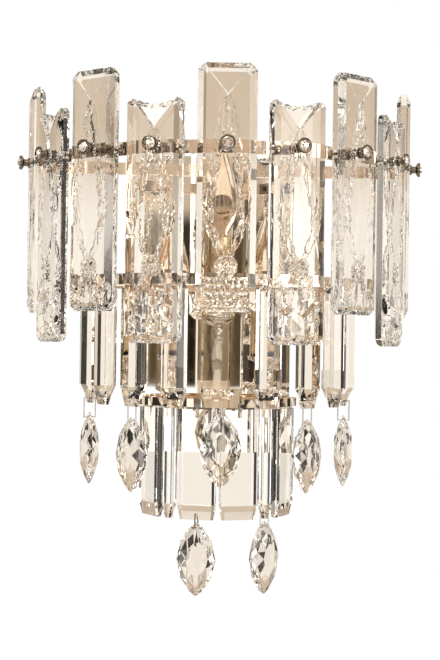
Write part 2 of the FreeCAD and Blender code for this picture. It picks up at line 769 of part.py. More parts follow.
for name, (spread, reach, level) in LAMPS.items():
    make_lamp(name, spread, reach, level)

doc.recompute()
for item in doc.Objects:
    if "Invalid" in item.State or "Error" in item.State:
        raise RuntimeError(f"{item.Label} failed: {item.State}")
for node in nodes:
    if node.Shape.isNull() or not node.Shape.isValid():
        raise RuntimeError(f"{node.Label} has no valid shape")
os.makedirs("parts", exist_ok=True)
for node in nodes:
    node.Shape.exportStep(f"parts/{node.Label}.step")
print(len(nodes), "pieces written")
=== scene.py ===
# %% [markdown]
# # A crystal wall sconce, dressed
#
# The light hangs on a wall: three half-round tiers of crystal on polished rings, with carved
# slabs on top, prisms in the middle, panels below, and seven marquise drops on wire links.
# The solid part comes in as a fixed frame. This script gives it its finish, rounds what is
# turned and carves the slabs, one step per cell. +Z is up and the front faces -Y. Blender's
# lengths are in metres, and the sizes of pieces are written in millimetres, times MM.

# %%
# Load the frame
import math

import bmesh
import bpy
import numpy as np
from mathutils import Matrix, Vector


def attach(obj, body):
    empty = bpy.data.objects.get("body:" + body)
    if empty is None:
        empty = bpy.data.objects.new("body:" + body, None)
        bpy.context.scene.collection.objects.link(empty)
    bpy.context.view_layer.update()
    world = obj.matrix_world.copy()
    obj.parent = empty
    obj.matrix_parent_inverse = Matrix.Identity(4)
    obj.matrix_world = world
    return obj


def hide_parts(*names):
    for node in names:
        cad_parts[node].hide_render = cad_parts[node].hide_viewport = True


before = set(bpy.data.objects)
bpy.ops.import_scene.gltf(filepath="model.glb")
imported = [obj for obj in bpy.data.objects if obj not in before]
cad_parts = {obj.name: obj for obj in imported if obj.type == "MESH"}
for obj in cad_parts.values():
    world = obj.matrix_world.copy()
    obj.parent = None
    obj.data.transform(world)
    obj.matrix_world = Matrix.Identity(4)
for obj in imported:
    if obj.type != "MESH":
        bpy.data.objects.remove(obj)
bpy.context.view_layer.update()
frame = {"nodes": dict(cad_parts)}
nodes = frame["nodes"]
MM = 0.001
print(len(nodes), "nodes in the frame")

# %% [markdown]
# ## A small language for shader maths
#
# A pattern in a material is a chain of nodes, which is tiresome to wire by hand. `Value` wraps a
# socket, so that a pattern is written as a formula such as `0.97 - glow * 0.35`. Every other node
# comes from one method, `Nodes.add`, which takes its kind, its settings and its sockets.

# %%
# Socket maths
class Value:
    """A number that flows through a node tree, with the usual signs of arithmetic."""

    def __init__(self, nodes, socket):
        self.nodes, self.socket = nodes, socket

    def maths(self, operation, *numbers):
        node = self.nodes.add("Math", {"operation": operation}, dict(enumerate(numbers)))
        return Value(self.nodes, node.outputs[0])

    def __add__(self, other):
        return self.maths("ADD", self, other)

    def __radd__(self, other):
        return self.maths("ADD", other, self)

    def __sub__(self, other):
        return self.maths("SUBTRACT", self, other)

    def __rsub__(self, other):
        return self.maths("SUBTRACT", other, self)

    def __mul__(self, other):
        return self.maths("MULTIPLY", self, other)

    def __rmul__(self, other):
        return self.maths("MULTIPLY", other, self)

    def larger(self, other):
        return self.maths("MAXIMUM", self, other)

    def absolute(self):
        return self.maths("ABSOLUTE", self)

    def sine(self):
        return self.maths("SINE", self)

    def angle_from(self, other):
        return self.maths("ARCTAN2", self, other)

    def step(self, low, high):
        """A smooth rise from 0 at low to 1 at high, or a fall where low is above high."""
        node = self.nodes.add("MapRange", {"interpolation_type": "SMOOTHSTEP"},
                              {"Value": self, "From Min": low, "From Max": high})
        return Value(self.nodes, node.outputs["Result"])


# %%
# Nodes of a tree
MIX_SHARE, MIX_FIRST, MIX_SECOND, MIXED_COLOUR = 0, 6, 7, 2  # sockets of a Mix node for colour
NOISE_ROUGHNESS = 0.55


class Nodes:
    """A node tree whose nodes all come from one method."""

    def __init__(self, tree):
        self.tree = tree

    def feed(self, socket, item):
        """Link a Value or an output to a socket, or set it to a number or a colour."""
        if isinstance(item, Value):
            item = item.socket
        if isinstance(item, bpy.types.NodeSocket):
            self.tree.links.new(item, socket)
        elif socket.type == "RGBA":
            socket.default_value = (*item, 1.0)
        else:
            socket.default_value = item

    def add(self, kind, settings=None, sockets=None):
        """A node of a kind: first its settings, then a value or a link for each socket."""
        node = self.tree.nodes.new("ShaderNode" + kind)
        for name, setting in (settings or {}).items():
            setattr(node, name, setting)
        for key, item in (sockets or {}).items():
            self.feed(node.inputs[key], item)
        return node

    def mixed(self, share, first, second):
        """The colour at a share of the way from the first to the second."""
        sockets = {MIX_SHARE: share, MIX_FIRST: first, MIX_SECOND: second}
        return self.add("Mix", {"data_type": "RGBA"}, sockets).outputs[MIXED_COLOUR]

    def place(self, stretch=(1.0, 1.0, 1.0)):
        """Object coordinates times a factor for each axis; a low factor draws a pattern out."""
        start = self.add("TexCoord").outputs["Object"]
        return self.add("Mapping", {}, {"Vector": start, "Scale": stretch}).outputs["Vector"]

    def noise(self, place, scale, detail):
        sockets = {"Vector": place, "Scale": scale, "Detail": detail,
                   "Roughness": NOISE_ROUGHNESS}
        return Value(self, self.add("TexNoise", {}, sockets).outputs["Fac"])

    def bump(self, height, strength, distance):
        sockets = {"Strength": strength, "Distance": distance, "Height": height}
        return self.add("Bump", {}, sockets).outputs["Normal"]


def new_material(name, **plain):
    """A material, its nodes and its shader; plain gives numbers for sockets, _ for a space."""
    material = bpy.data.materials.new(name)
    material.use_nodes = True
    shader = material.node_tree.nodes["Principled BSDF"]
    for socket, number in plain.items():
        shader.inputs[socket.replace("_", " ")].default_value = number
    return material, Nodes(material.node_tree), shader


def new_object(name, data):
    """An object at the origin, unturned and unscaled, for a mesh, a lamp or a camera."""
    thing = bpy.data.objects.new(name, data)
    bpy.context.scene.collection.objects.link(thing)
    return thing


print("shader maths ready")

# %% [markdown]
# ## Crystal
#
# The slabs, prisms, panels and drops are solid cut crystal: clear, very faintly champagne, with a
# slow waviness where the surface was polished. A flat pane with a picture of reflections would do
# from one side only, so this is real glass that bends light. Its waviness is a bump of slow noise,
# longer upwards, which breaks straight reflections a little. Rays that only ask whether a place
# is lit pass through it, so what stands inside the crystal isn't black.

# %%
# Crystal materials
PASSED_LIGHT = (0.93, 0.91, 0.88)
POLISH_DEPTH = 0.4 * MM


def make_crystal(name, tint, waviness, ripple_scale, index=1.53):
    """Glass of a tint that drifts by 3 per cent, with bump from slow noise on its normals."""
    material, tree, shader = new_material(
        name, Transmission_Weight=1.0, IOR=index, Roughness=0.0)
    pale = tuple(min(1.0, channel * 1.03) for channel in tint)
    cloud = tree.noise(tree.place(), 25.0, 2.0)
    tree.feed(shader.inputs["Base Color"], tree.mixed(cloud.step(0.35, 0.65), tint, pale))
    ripple = tree.noise(tree.place((1.0, 1.0, 0.35)), ripple_scale, 2.0)
    tree.feed(shader.inputs["Normal"], tree.bump(ripple, waviness, POLISH_DEPTH))
    rays = tree.add("LightPath")
    passing = Value(tree, rays.outputs["Is Shadow Ray"]).larger(
        Value(tree, rays.outputs["Is Diffuse Ray"]))
    clear = tree.add("BsdfTransparent", {}, {"Color": PASSED_LIGHT})
    blend = tree.add("MixShader", {}, {0: passing, 1: shader.outputs["BSDF"],
                                       2: clear.outputs["BSDF"]})
    surface = material.node_tree.nodes["Material Output"].inputs["Surface"]
    tree.feed(surface, blend.outputs["Shader"])
    return material


slab_crystal = make_crystal("slab_crystal", (0.965, 0.945, 0.915), 0.10, 60.0)
prism_crystal = make_crystal("prism_crystal", (0.97, 0.95, 0.92), 0.06, 80.0)
panel_crystal = make_crystal("panel_crystal", (0.98, 0.965, 0.94), 0.05, 70.0)
drop_crystal = make_crystal("drop_crystal", (0.91, 0.88, 0.84), 0.02, 120.0, 1.46)
bulb_glass = make_crystal("bulb_glass", (0.82, 0.74, 0.64), 0.02, 40.0, 1.3)
print("crystal ready")

# %% [markdown]
# ## Metal
#
# The frame is polished champagne gold, the links are darker nickel, and the bracket behind is
# plain steel. The knobs are nickel painted nearly black, a painted shade that stands in for the
# dark surroundings their polish mirrors. One plain colour would look like plastic, so three slow
# and fast noises vary it: the colour drifts over the surface, smudges roughen it, and rubbing
# marks that run round the piece break its reflections. The back plate is the cleanest mirror of
# all.

# %%
# Metal materials
MARK_DEPTH = 0.05 * MM


def make_polished_metal(name, dark, light, rough, marks):
    """Metal between two colours and two roughnesses; marks are their scale and strength."""
    material, tree, shader = new_material(name, Metallic=1.0)
    cloud = tree.noise(tree.place(), 18.0, 4.0)
    tree.feed(shader.inputs["Base Color"], tree.mixed(cloud.step(0.3, 0.7), dark, light))
    smudge = tree.noise(tree.place(), 45.0, 3.0).step(0.35, 0.75)
    tree.feed(shader.inputs["Roughness"], smudge * (rough[1] - rough[0]) + rough[0])
    scratches = tree.noise(tree.place((1.0, 1.0, 9.0)), marks[0], 4.0)
    tree.feed(shader.inputs["Normal"], tree.bump(scratches, marks[1], MARK_DEPTH))
    return material


plate_metal = make_polished_metal(
    "plate_mirror", (0.86, 0.78, 0.68), (0.93, 0.87, 0.79), (0.01, 0.03), (300.0, 0.01))
ring_metal = make_polished_metal(
    "ring_gold", (0.76, 0.62, 0.50), (0.90, 0.79, 0.68), (0.04, 0.12), (500.0, 0.08))
# Knob nickel painted nearly black: painted shade for the dark surroundings that polished nickel
# mirrors.
knob_nickel_and_painted_shade = make_polished_metal(
    "knob_nickel_painted_shade", (0.15, 0.12, 0.09), (0.26, 0.21, 0.16), (0.05, 0.14), (700.0, 0.05))
star_metal = make_polished_metal(
    "star_gold", (0.80, 0.72, 0.62), (0.95, 0.88, 0.80), (0.02, 0.06), (700.0, 0.03))
holder_metal = make_polished_metal(
    "holder_gold", (0.60, 0.52, 0.43), (0.82, 0.75, 0.66), (0.04, 0.12), (500.0, 0.06))
wire_metal = make_polished_metal(
    "wire_nickel", (0.50, 0.45, 0.38), (0.72, 0.66, 0.58), (0.10, 0.22), (800.0, 0.05))
bracket_metal = make_polished_metal(
    "bracket_steel", (0.42, 0.42, 0.42), (0.60, 0.60, 0.60), (0.25, 0.45), (400.0, 0.15))
sleeve_metal = make_polished_metal(
    "sleeve_gold", (0.62, 0.45, 0.26), (0.82, 0.64, 0.42), (0.12, 0.28), (300.0, 0.05))
print("metal ready")

# %% [markdown]
# ## A finish for every node
#
# The first word of a node's name says what the piece is, and that is enough to choose its finish.
# Only the slabs' knobs and shafts need their full names, because the slabs themselves are crystal.

# %%
# Finishes
FINISHES = {
    "slab": slab_crystal, "prism": prism_crystal, "panel": panel_crystal, "bar": panel_crystal,
    "drop": drop_crystal, "bail": wire_metal, "bulb": bulb_glass, "candle": sleeve_metal,
    "lamp": holder_metal, "ring": ring_metal, "back": plate_metal, "wall": bracket_metal,
    "frame": ring_metal, "hanger": ring_metal, "shaft": ring_metal,
    "slab_knobs": knob_nickel_and_painted_shade, "slab_shafts": knob_nickel_and_painted_shade,
}
for name, node in nodes.items():
    node.data.materials.clear()
    node.data.materials.append(FINISHES.get(name) or FINISHES[name.split("_")[0]])
print("finishes given to", len(nodes), "nodes")

# %% [markdown]
# ## Nine places on a half ring
#
# Slabs and knobs stand side by side round the top ring, 20 degrees apart. Each is worked out
# once, in the directions of its own place: along the ring, out from its centre, and up.

# %%
# Places on the tier
TIER_CENTRE = np.array([0.0, -20.0, 0.0])
TIER_PLACES, MIDDLE_PLACE, TIER_STEP = range(1, 10), 5, 20.0


def on_tier(place, along_mm, out_mm, up_mm):
    """Points in metres: centre + along (cos a, sin a) + out (sin a, -cos a) + up, for angle a."""
    angle = math.radians(TIER_STEP * (place - MIDDLE_PLACE))
    along = [math.cos(angle), math.sin(angle), 0.0]
    out = [math.sin(angle), -math.cos(angle), 0.0]
    return (TIER_CENTRE + np.outer(along_mm, along) + np.outer(out_mm, out)
            + np.outer(up_mm, [0.0, 0.0, 1.0])) * MM


print(len(TIER_PLACES), "places, from", (TIER_PLACES[0] - MIDDLE_PLACE) * TIER_STEP, "degrees")

# %% [markdown]
# ## Knobs
#
# A knob holds each slab: a nickel rim round a bright cut star. The rim is painted nearly black, a
# painted shade that stands in for the dark surroundings polished nickel mirrors. The solid one is
# a plain button in flats, because the star is too fine for it. A lathe turns such a rim, so here a
# profile is carried round the knob's axis. The star is the same surface, with its height changed
# round the axis, which gives its points without cutting.

# %%
# Knobs
KNOB_LEVEL, KNOB_FACE = 134.0, 189.0
KNOB_TURNS = 40
KNOB_PROFILE = [  # distance out from the slab's face, radius
    (0.0, 0.1), (0.0, 5.0), (1.7, 5.0),  # foot
    (2.2, 3.7), (3.4, 3.2), (5.8, 3.5),  # neck
    (7.0, 5.9), (7.9, 6.9), (9.4, 6.9), (10.1, 6.6), (10.2, 6.0),  # rim
    (9.2, 5.2), (9.2, 4.9),  # groove round the star
]
STAR_POINTS, STAR_FOOT, STAR_RISE = 5, 9.2, 2.8
STAR_RADIUS, STAR_TAPER, STAR_SHARES = 4.9, 2.875, (0.35, 0.7, 1.0)
STAR_FLAT, STAR_WAVE = 0.7, 0.3
CENTRE_RADIUS = 0.05
KNOB_CORNER = 40


def knob_surface():
    """Distances along, out and up over (ring, turn): (r cos a, out, r sin a).

    Out and r follow the profile. On the star, out = 9.2 + 2.8 t (0.7 + 0.3 cos 5a) and
    r = 4.9 - 2.875 t, with t from 0 at the groove to 1 at the tip. The tip is flat, so its
    bracket is 1."""
    turns = np.linspace(0, 2 * math.pi, KNOB_TURNS + 1)[:-1]
    rings = [(np.full(KNOB_TURNS, out), radius) for out, radius in KNOB_PROFILE]
    wave = STAR_FLAT + STAR_WAVE * np.cos(STAR_POINTS * turns)
    for share in STAR_SHARES:
        star = np.ones(KNOB_TURNS) if share == 1.0 else wave
        rings.append((STAR_FOOT + STAR_RISE * share * star, STAR_RADIUS - STAR_TAPER * share))
    rings.append((np.full(KNOB_TURNS, STAR_FOOT + STAR_RISE), CENTRE_RADIUS))
    out = np.array([ring[0] for ring in rings])
    radius = np.array([[ring[1]] for ring in rings])
    return radius * np.cos(turns), out, radius * np.sin(turns)


def make_knobs():
    """One piece of nine knobs; each is rings of quads between two round ends."""
    along, out, rise = knob_surface()
    rings = len(out)
    step = np.arange(KNOB_TURNS)
    after = (step + 1) % KNOB_TURNS
    quads = np.concatenate([np.stack([row + step, row + after, row + KNOB_TURNS + after,
                                      row + KNOB_TURNS + step], 1)
                            for row in KNOB_TURNS * np.arange(rings - 1)])
    ends = [step[::-1], (rings - 1) * KNOB_TURNS + step]
    faces = quads.tolist() + [end.tolist() for end in ends]
    star_starts = (len(KNOB_PROFILE) - 1) * KNOB_TURNS
    on_star = [star_starts <= index < len(quads) for index in range(len(faces))]
    points = np.concatenate([on_tier(place, along.ravel(), out.ravel() + KNOB_FACE,
                                     rise.ravel() + KNOB_LEVEL) for place in TIER_PLACES])
    every = [[base * out.size + corner for corner in face]
             for base in range(len(TIER_PLACES)) for face in faces]
    mesh = bpy.data.meshes.new("turned_knobs")
    mesh.from_pydata(points.tolist(), [], every)
    mesh.materials.append(knob_nickel_and_painted_shade)
    mesh.materials.append(star_metal)
    star_faces = on_star * len(TIER_PLACES)
    mesh.polygons.foreach_set("material_index", [int(star) for star in star_faces])
    mesh.polygons.foreach_set("use_smooth", [not star for star in star_faces])
    mesh.set_sharp_from_angle(angle=math.radians(KNOB_CORNER))
    knobs = new_object("turned_knobs", mesh)
    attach(knobs, "fixture")
    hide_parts("slab_knobs")
    return len(every)


print(make_knobs(), "faces in nine knobs")

# %% [markdown]
# ## Round pieces
#
# Rings are rolled, and lamp holders, sleeves and bulbs are turned or blown, so on the real light
# they are round. The solids are made in flats. They could be modelled again, but their sizes are
# right as they are, so each gets a merged copy whose faces are shaded as one wherever they meet
# at a small angle. Above that angle a corner is a real one and stays sharp.

# %%
# Round pieces
MERGE_MM = 0.01
RING_CORNER, HOLDER_CORNER, SLEEVE_CORNER, BULB_CORNER = 25, 32, 40, 50


def make_round(name, corner_deg, finish):
    """A merged copy of a node, smooth wherever its faces meet below the corner angle."""
    mesh = bpy.data.meshes.new(f"round_{name}")
    shape = bmesh.new()
    shape.from_mesh(nodes[name].data)
    bmesh.ops.remove_doubles(shape, verts=shape.verts, dist=MERGE_MM * MM)
    shape.to_mesh(mesh)
    shape.free()
    mesh.polygons.foreach_set("use_smooth", [True] * len(mesh.polygons))
    mesh.set_sharp_from_angle(angle=math.radians(corner_deg))
    mesh.materials.clear()
    mesh.materials.append(finish)
    piece = new_object(f"round_{name}", mesh)
    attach(piece, "fixture")
    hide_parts(name)


for name in ("ring_top", "ring_middle", "ring_bottom"):
    make_round(name, RING_CORNER, ring_metal)
for side in ("left", "right", "upper"):
    make_round(f"lamp_holder_{side}", HOLDER_CORNER, holder_metal)
    make_round(f"candle_sleeve_{side}", SLEEVE_CORNER, sleeve_metal)
    make_round(f"bulb_{side}", BULB_CORNER, bulb_glass)
print("round pieces ready")

# %% [markdown]
# ## Carved slabs: the chips
#
# Each slab of the top tier is a thick plate of crystal, bevelled all round, with a leaf and a foot
# carved into its face. Carving breaks crystal into small flat facets that each catch another
# light. Bump could only fake them, so they are real relief: the face is a height over the grid
# (across, up). A chip is a small tilted plane, and every point belongs to its nearest chip.

# %%
# Slab sizes and chips
SLAB_WIDTH, SLAB_LENGTH, SLAB_THICK = 52.0, 217.0, 13.0
SLAB_SEAT, HIGH_TOP, LOW_TOP = 176.0, 71.0, 43.0
BEVEL, BEVEL_DEPTH, CORNER = 7.0, 3.5, 6.0
HOLE_RADIUS = 2.72
HALF = SLAB_WIDTH / 2
RIPPLES = {"count": 170, "stretch": 0.16, "tilt": 0.2, "depth": 0.5}
FACETS = {"count": 38, "stretch": 0.8, "tilt": 0.24, "depth": 0.9}
GRAINS = {"count": 260, "stretch": 0.8, "tilt": 0.34, "depth": 0.6}


def chips(across, up, rng, low, high, count, stretch, tilt, depth):
    """Depth = depth * d + tilt * (a * across + b * stretch * up), from the nearest seed's d, a, b.

    The seeds are drawn between the levels low and high, and across and up are measured from
    each. A stretch below 1 makes the chips longer upwards than across."""
    seeds = (rng.uniform(-HALF, HALF, count), rng.uniform(low, high, count),
             rng.normal(0, 1, count), rng.normal(0, 1, count), rng.uniform(0, 1, count))
    near = np.full(across.shape, np.inf)
    field = np.zeros(across.shape)
    for x, z, tilt_x, tilt_z, drop in zip(*seeds):
        away = (across - x) ** 2 + ((up - z) * stretch) ** 2
        plane = depth * drop + tilt * (tilt_x * (across - x) + tilt_z * stretch * (up - z))
        field = np.where(away < near, plane, field)
        near = np.minimum(near, away)
    return np.clip(field, 0.0, 2.0 * depth)


def smooth(value, low, high):
    """A rise 3 s^2 - 2 s^3 from 0 at low to 1 at high."""
    share = np.clip((value - low) / (high - low), 0.0, 1.0)
    return share * share * (3 - 2 * share)


print("chips ready")

# %% [markdown]
# ## Carved slabs: the leaf
#
# A long pointed leaf runs down the middle of the face. Its rim is rippled crystal, and inside it
# a smooth pane shows the light behind. Both are outlines of the same pointed curve, one inside
# the other, so the rim is simply what lies between them.

# %%
# Leaf
LEAF_DROP, LEAF_TIP, LEAF_HALF, LEAF_RIM = 26.0, 26.0, 18.5, 7.5
LEAF_RELIEF = 0.45
PANE_LOWER, PANE_SHORTER = 3.5, 4.5  # in widths of the rim


def pointed(share):
    """Half a leaf's width at a share s of its length: sin(pi s)^0.8 (1 + sin(2 pi s - pi) / 4)."""
    share = np.clip(share, 0.0, 1.0)
    return np.sin(np.pi * share) ** 0.8 * (1.0 + 0.25 * np.sin(2 * np.pi * (share - 0.5)))


def leaf_rim(across, drop, top):
    """1 between a wavy outer leaf and a smaller inner one, 0 elsewhere."""
    beside = np.abs(across)
    length = top - LEAF_TIP - LEAF_DROP
    outer = LEAF_HALF * pointed((drop - LEAF_DROP) / length)
    pane_drop = LEAF_DROP + PANE_LOWER * LEAF_RIM
    pane_length = length - PANE_SHORTER * LEAF_RIM
    inner = (LEAF_HALF - LEAF_RIM) * pointed((drop - pane_drop) / pane_length)
    wave = 0.9 * np.sin(drop * 0.33 + across * 0.05) + 0.5 * np.sin(drop * 0.8)
    return (smooth(outer + 0.5 * wave - beside, -0.4, 0.4)
            * smooth(beside - inner - wave, -0.5, 0.5))


print("leaf ready, its rim", LEAF_RIM, "mm wide")

# %% [markdown]
# ## Carved slabs: three kinds of foot
#
# Below the leaf sits a small round bud with rays, and under it the slab is cut in one of three
# ways: rows of blocks like brickwork on the middle slab, a smooth bell with chipped sides on the
# other high ones, and broken ice on the low ones. Each is a function of the same grid that
# says how deep the cut is, so a slab takes whichever foot it has.

# %%
# Feet
BUD_RADIUS, BUD_LEVEL, BUD_RAYS = 7.0, 27.0, 9
BRICK_TOP, BRICK_WIDE, BRICK_TALL = BUD_LEVEL - 10.0, 5.4, 6.2
BRICK_HALF, BRICK_SPREAD, BRICK_JOINT = 17.5, 0.12, 1.5
BELL_TOP, BELL_HALF, BELL_SEAM = BUD_LEVEL - 6.0, HALF - 9.0, 1.1
ICE_TOP, ICE_HALF, ICE_FLARE = BUD_LEVEL - 4.0, HALF - 6.0, 2.5
CUT_EDGE = 1.5


def brick_foot(across, up, low, chipped):
    """Blocks of uneven height in rows 6.2 mm tall, each row shifted, deeper in the joints."""
    row = (BRICK_TOP - up) / BRICK_TALL
    column = across / BRICK_WIDE + (np.floor(row) * 0.5 + 0.17 * np.sin(np.floor(row) * 4.0))
    joint = np.minimum(np.abs(row - np.round(row)) * BRICK_TALL,
                       np.abs(column - np.round(column)) * BRICK_WIDE)
    block = 0.5 + 0.4 * np.sin(np.floor(row) * 7.0 + np.floor(column) * 3.0)
    relief = block + 0.9 * smooth(BRICK_JOINT - joint, 0.0, BRICK_JOINT) + 0.35 * chipped
    width = BRICK_HALF + BRICK_SPREAD * (BUD_LEVEL - up)
    return relief * smooth(row, -0.1, 0.1) * smooth(width - np.abs(across), 0.0, 1.0)


def bell_foot(across, up, low, chipped):
    """A fluted bell, 7 + 10 s^1.4 to either side at a share s of its height, and its seam."""
    share = np.clip((BELL_TOP - up) / (BELL_TOP - low), 0.0, 1.0)
    flare = BUD_RADIUS + (BELL_HALF - BUD_RADIUS) * share ** 1.4
    beside = np.abs(across)
    inside = smooth(flare - beside, 0.0, CUT_EDGE) * smooth(share, 0.0, 0.03)
    seam = np.exp(-((beside - flare) / BELL_SEAM) ** 2) * smooth(share, 0.0, 0.05)
    flutes = 0.5 + 0.12 * np.cos(across / np.maximum(flare, 1.0) * np.pi * 2.5)
    outside = smooth(beside - flare, 0.0, CUT_EDGE) * smooth(share, 0.2, 0.5)
    return inside * flutes + seam * (0.7 + chipped) + 0.5 * outside * chipped


def ice_foot(across, up, low, chipped):
    """Broken facets over the whole foot, which widens quickly below the bud."""
    share = np.clip((ICE_TOP - up) / (ICE_TOP - low), 0.0, 1.0)
    flare = BUD_RADIUS + (ICE_HALF - BUD_RADIUS) * np.minimum(share * ICE_FLARE, 1.0)
    inside = smooth(flare - np.abs(across), 0.0, CUT_EDGE) * smooth(share, 0.0, 0.05)
    return inside * (0.2 + 1.5 * chipped)


def bud(across, up):
    """A round cut with nine rays: 0.3 + 0.9 (0.5 + 0.5 cos 9a) away from its middle."""
    away = np.hypot(across, up - BUD_LEVEL)
    rays = 0.5 + 0.5 * np.cos(BUD_RAYS * np.arctan2(across, up - BUD_LEVEL))
    return smooth(BUD_RADIUS + 3.0 - away, 0.0, 1.0) * (0.3 + 0.9 * rays * smooth(away, 1.0, 4.0))


print("three kinds of foot ready")

# %% [markdown]
# ## Carved slabs: the whole face
#
# The top of every slab has a V. On the high slabs it is a shallow step below a straight edge. On
# the low ones the edge itself is worn and sags between the corners. All cuts add up to one
# relief, measured down from the highest plane, and fine grains roughen the worn rims.

# %%
# Face
VEE_LENGTH, VEE_MARGIN, VEE_SAG = 29.0, 3.0, 6.5
VEE_SLOPE = VEE_LENGTH / (HALF - VEE_MARGIN)
HIGH_VEE_DEPTH, LOW_VEE_DEPTH, LOW_VEE_FALL = 0.8, 1.0, 0.28
RIM_TOP, RIM_FOOT, RIM_RELIEF = 4.5, 2.6, 1.3


def rim_sag(across, high):
    """How far the top edge hangs below the corners: a worn dip on low slabs, none on high ones."""
    share = np.clip(np.abs(across) / (HALF - VEE_MARGIN), 0.0, 1.0)
    if high:
        return np.zeros(across.shape)
    return (VEE_SAG + 0.7 * np.sin(across * 0.9)) * (1 - share ** 2)


def from_edge(across, drop):
    """Distance from the nearest side, end or cut corner."""
    side = HALF - np.abs(across)
    end = np.minimum(drop, SLAB_LENGTH - drop)
    corner = (side + end - CORNER) / math.sqrt(2)
    return np.minimum(np.minimum(side, corner), end)


def bevel(edge):
    """3.5 mm deep at the edge, 0 from 7 mm inwards, straight between."""
    return BEVEL_DEPTH * np.clip(1.0 - edge / BEVEL, 0.0, 1.0)


def face_relief(across, up, top, high, foot, rng):
    """How far the face lies below its highest plane: bevel or V, leaf, bud, foot and worn rims."""
    drop = top - up
    low = top - SLAB_LENGTH
    edge = from_edge(across, drop)
    from_vee = (VEE_LENGTH - drop - VEE_SLOPE * np.abs(across)) / math.hypot(1.0, VEE_SLOPE)
    vee = HIGH_VEE_DEPTH if high else LOW_VEE_DEPTH + LOW_VEE_FALL * (VEE_LENGTH - drop)
    ripples = chips(across, up, rng, low, top, **RIPPLES)
    facets = chips(across, up, rng, low, BUD_LEVEL + 8, **FACETS)
    grains = chips(across, up, rng, low, top, **GRAINS)
    relief = np.maximum(bevel(edge), vee * smooth(from_vee, 0.0, 1.2))
    relief = relief + leaf_rim(across, drop, top) * (LEAF_RELIEF + ripples)
    relief = relief + bud(across, up)
    chipped = grains if foot is brick_foot else facets
    relief = relief + foot(across, up, low, chipped) * smooth(edge, 1.0, 4.0)
    worn_top = smooth(RIM_TOP - (drop - rim_sag(across, high)), 0.0, 2.0)
    worn_foot = 0.7 * smooth(RIM_FOOT - (SLAB_LENGTH - drop), 0.0, 2.0)
    ridge = np.exp(-((edge - BEVEL) / 1.0) ** 2) * smooth(up, 40.0, -20.0)
    return relief + ((worn_top + worn_foot) * RIM_RELIEF + ridge * 0.5) * grains


print("face ready")

# %% [markdown]
# ## Carved slabs: the grid
#
# A height field shows only what its grid can follow. A plain square grid would saw the V and the
# bevels into steps, so rows and columns are laid along them, and the rows between are spread
# evenly. The points next to the shaft's hole are drawn onto its circle.

# %%
# Grid
BEVEL_STEPS, FACE_COLUMNS, FACE_ROWS, VEE_ROWS, TOP_ROWS = 8, 39, 176, 20, 9
NEAR_HOLE = (1.6, 3.3)


def slab_grid(top, high):
    """Arrays of across and up: rows between two curves are a straight mix of both."""
    columns = np.concatenate([np.linspace(-HALF, -HALF + BEVEL, BEVEL_STEPS)[:-1],
                              np.linspace(-HALF + BEVEL, HALF - BEVEL, FACE_COLUMNS),
                              np.linspace(HALF - BEVEL, HALF, BEVEL_STEPS)[1:]])
    vee_line = np.minimum(-VEE_LENGTH + VEE_SLOPE * np.abs(columns), -BEVEL)
    foot_line = BEVEL - SLAB_LENGTH
    flat = np.ones(columns.shape)
    rows = [flat * fall for fall in np.linspace(-SLAB_LENGTH, foot_line, BEVEL_STEPS)[:-1]]
    rows += [foot_line + (vee_line + SLAB_LENGTH - BEVEL) * share
             for share in np.linspace(0, 1, FACE_ROWS)[:-1]]
    rows += [vee_line + (-BEVEL - vee_line) * share
             for share in np.linspace(0, 1, VEE_ROWS)[:-1]]
    rows += [flat * fall for fall in np.linspace(-BEVEL, 0, TOP_ROWS)]
    fall = np.array(rows)
    reach = HALF - np.clip(CORNER - np.minimum(-fall, SLAB_LENGTH + fall), 0, CORNER)
    across = np.clip(np.tile(columns, (len(rows), 1)), -reach, reach)
    fall = fall - rim_sag(across, high) * np.clip(1.0 + fall / VEE_LENGTH, 0.0, 1.0)
    return across, fall + top


def cell_corners(field):
    """The values at the four corners of every cell of the grid."""
    return [field[:-1, :-1], field[:-1, 1:], field[1:, :-1], field[1:, 1:]]


def round_hole(across, up):
    """The grid with its points near the hole drawn onto the circle, and the cells outside it."""
    away = np.hypot(across, up - KNOB_LEVEL)
    outside = sum(cell_corners(away)) / 4 > HOLE_RADIUS
    near = (away > NEAR_HOLE[0]) & (away < NEAR_HOLE[1])
    pull = np.where(near, HOLE_RADIUS / np.maximum(away, 0.1), 1.0)
    return across * pull, KNOB_LEVEL + (up - KNOB_LEVEL) * pull, outside


print("grid ready")

# %% [markdown]
# ## Carved slabs: closing the plate
#
# A face alone is a skin, and glass without a closed wall bends light wrongly. So the back is a
# second height field over the same grid, and wherever a triangle's edge has no neighbour, a wall
# joins face and back. That closes the rim, the sagging top and the hole in one step.

# %%
# Closed plate
SAME_POINT_DECIMALS, EMPTY_AREA = 4, 1e-6
THINNEST, THIN_WALL = 0.4, 0.2


def grid_triangles(across, up, keep):
    """Two triangles for each kept cell; points in one place become one, empty triangles go."""
    index = np.arange(across.size).reshape(across.shape)
    a, b, d, c = (corners[keep] for corners in cell_corners(index))
    flat = np.round(np.stack([across.ravel(), up.ravel()], 1), SAME_POINT_DECIMALS)
    _, first, same = np.unique(flat, axis=0, return_index=True, return_inverse=True)
    merged = first[same.ravel()]
    triangles = merged[np.concatenate([np.stack([a, b, c], 1), np.stack([a, c, d], 1)])]
    one = flat[triangles[:, 1]] - flat[triangles[:, 0]]
    two = flat[triangles[:, 2]] - flat[triangles[:, 0]]
    area = np.abs(one[:, 0] * two[:, 1] - one[:, 1] * two[:, 0])
    return triangles[area > EMPTY_AREA]


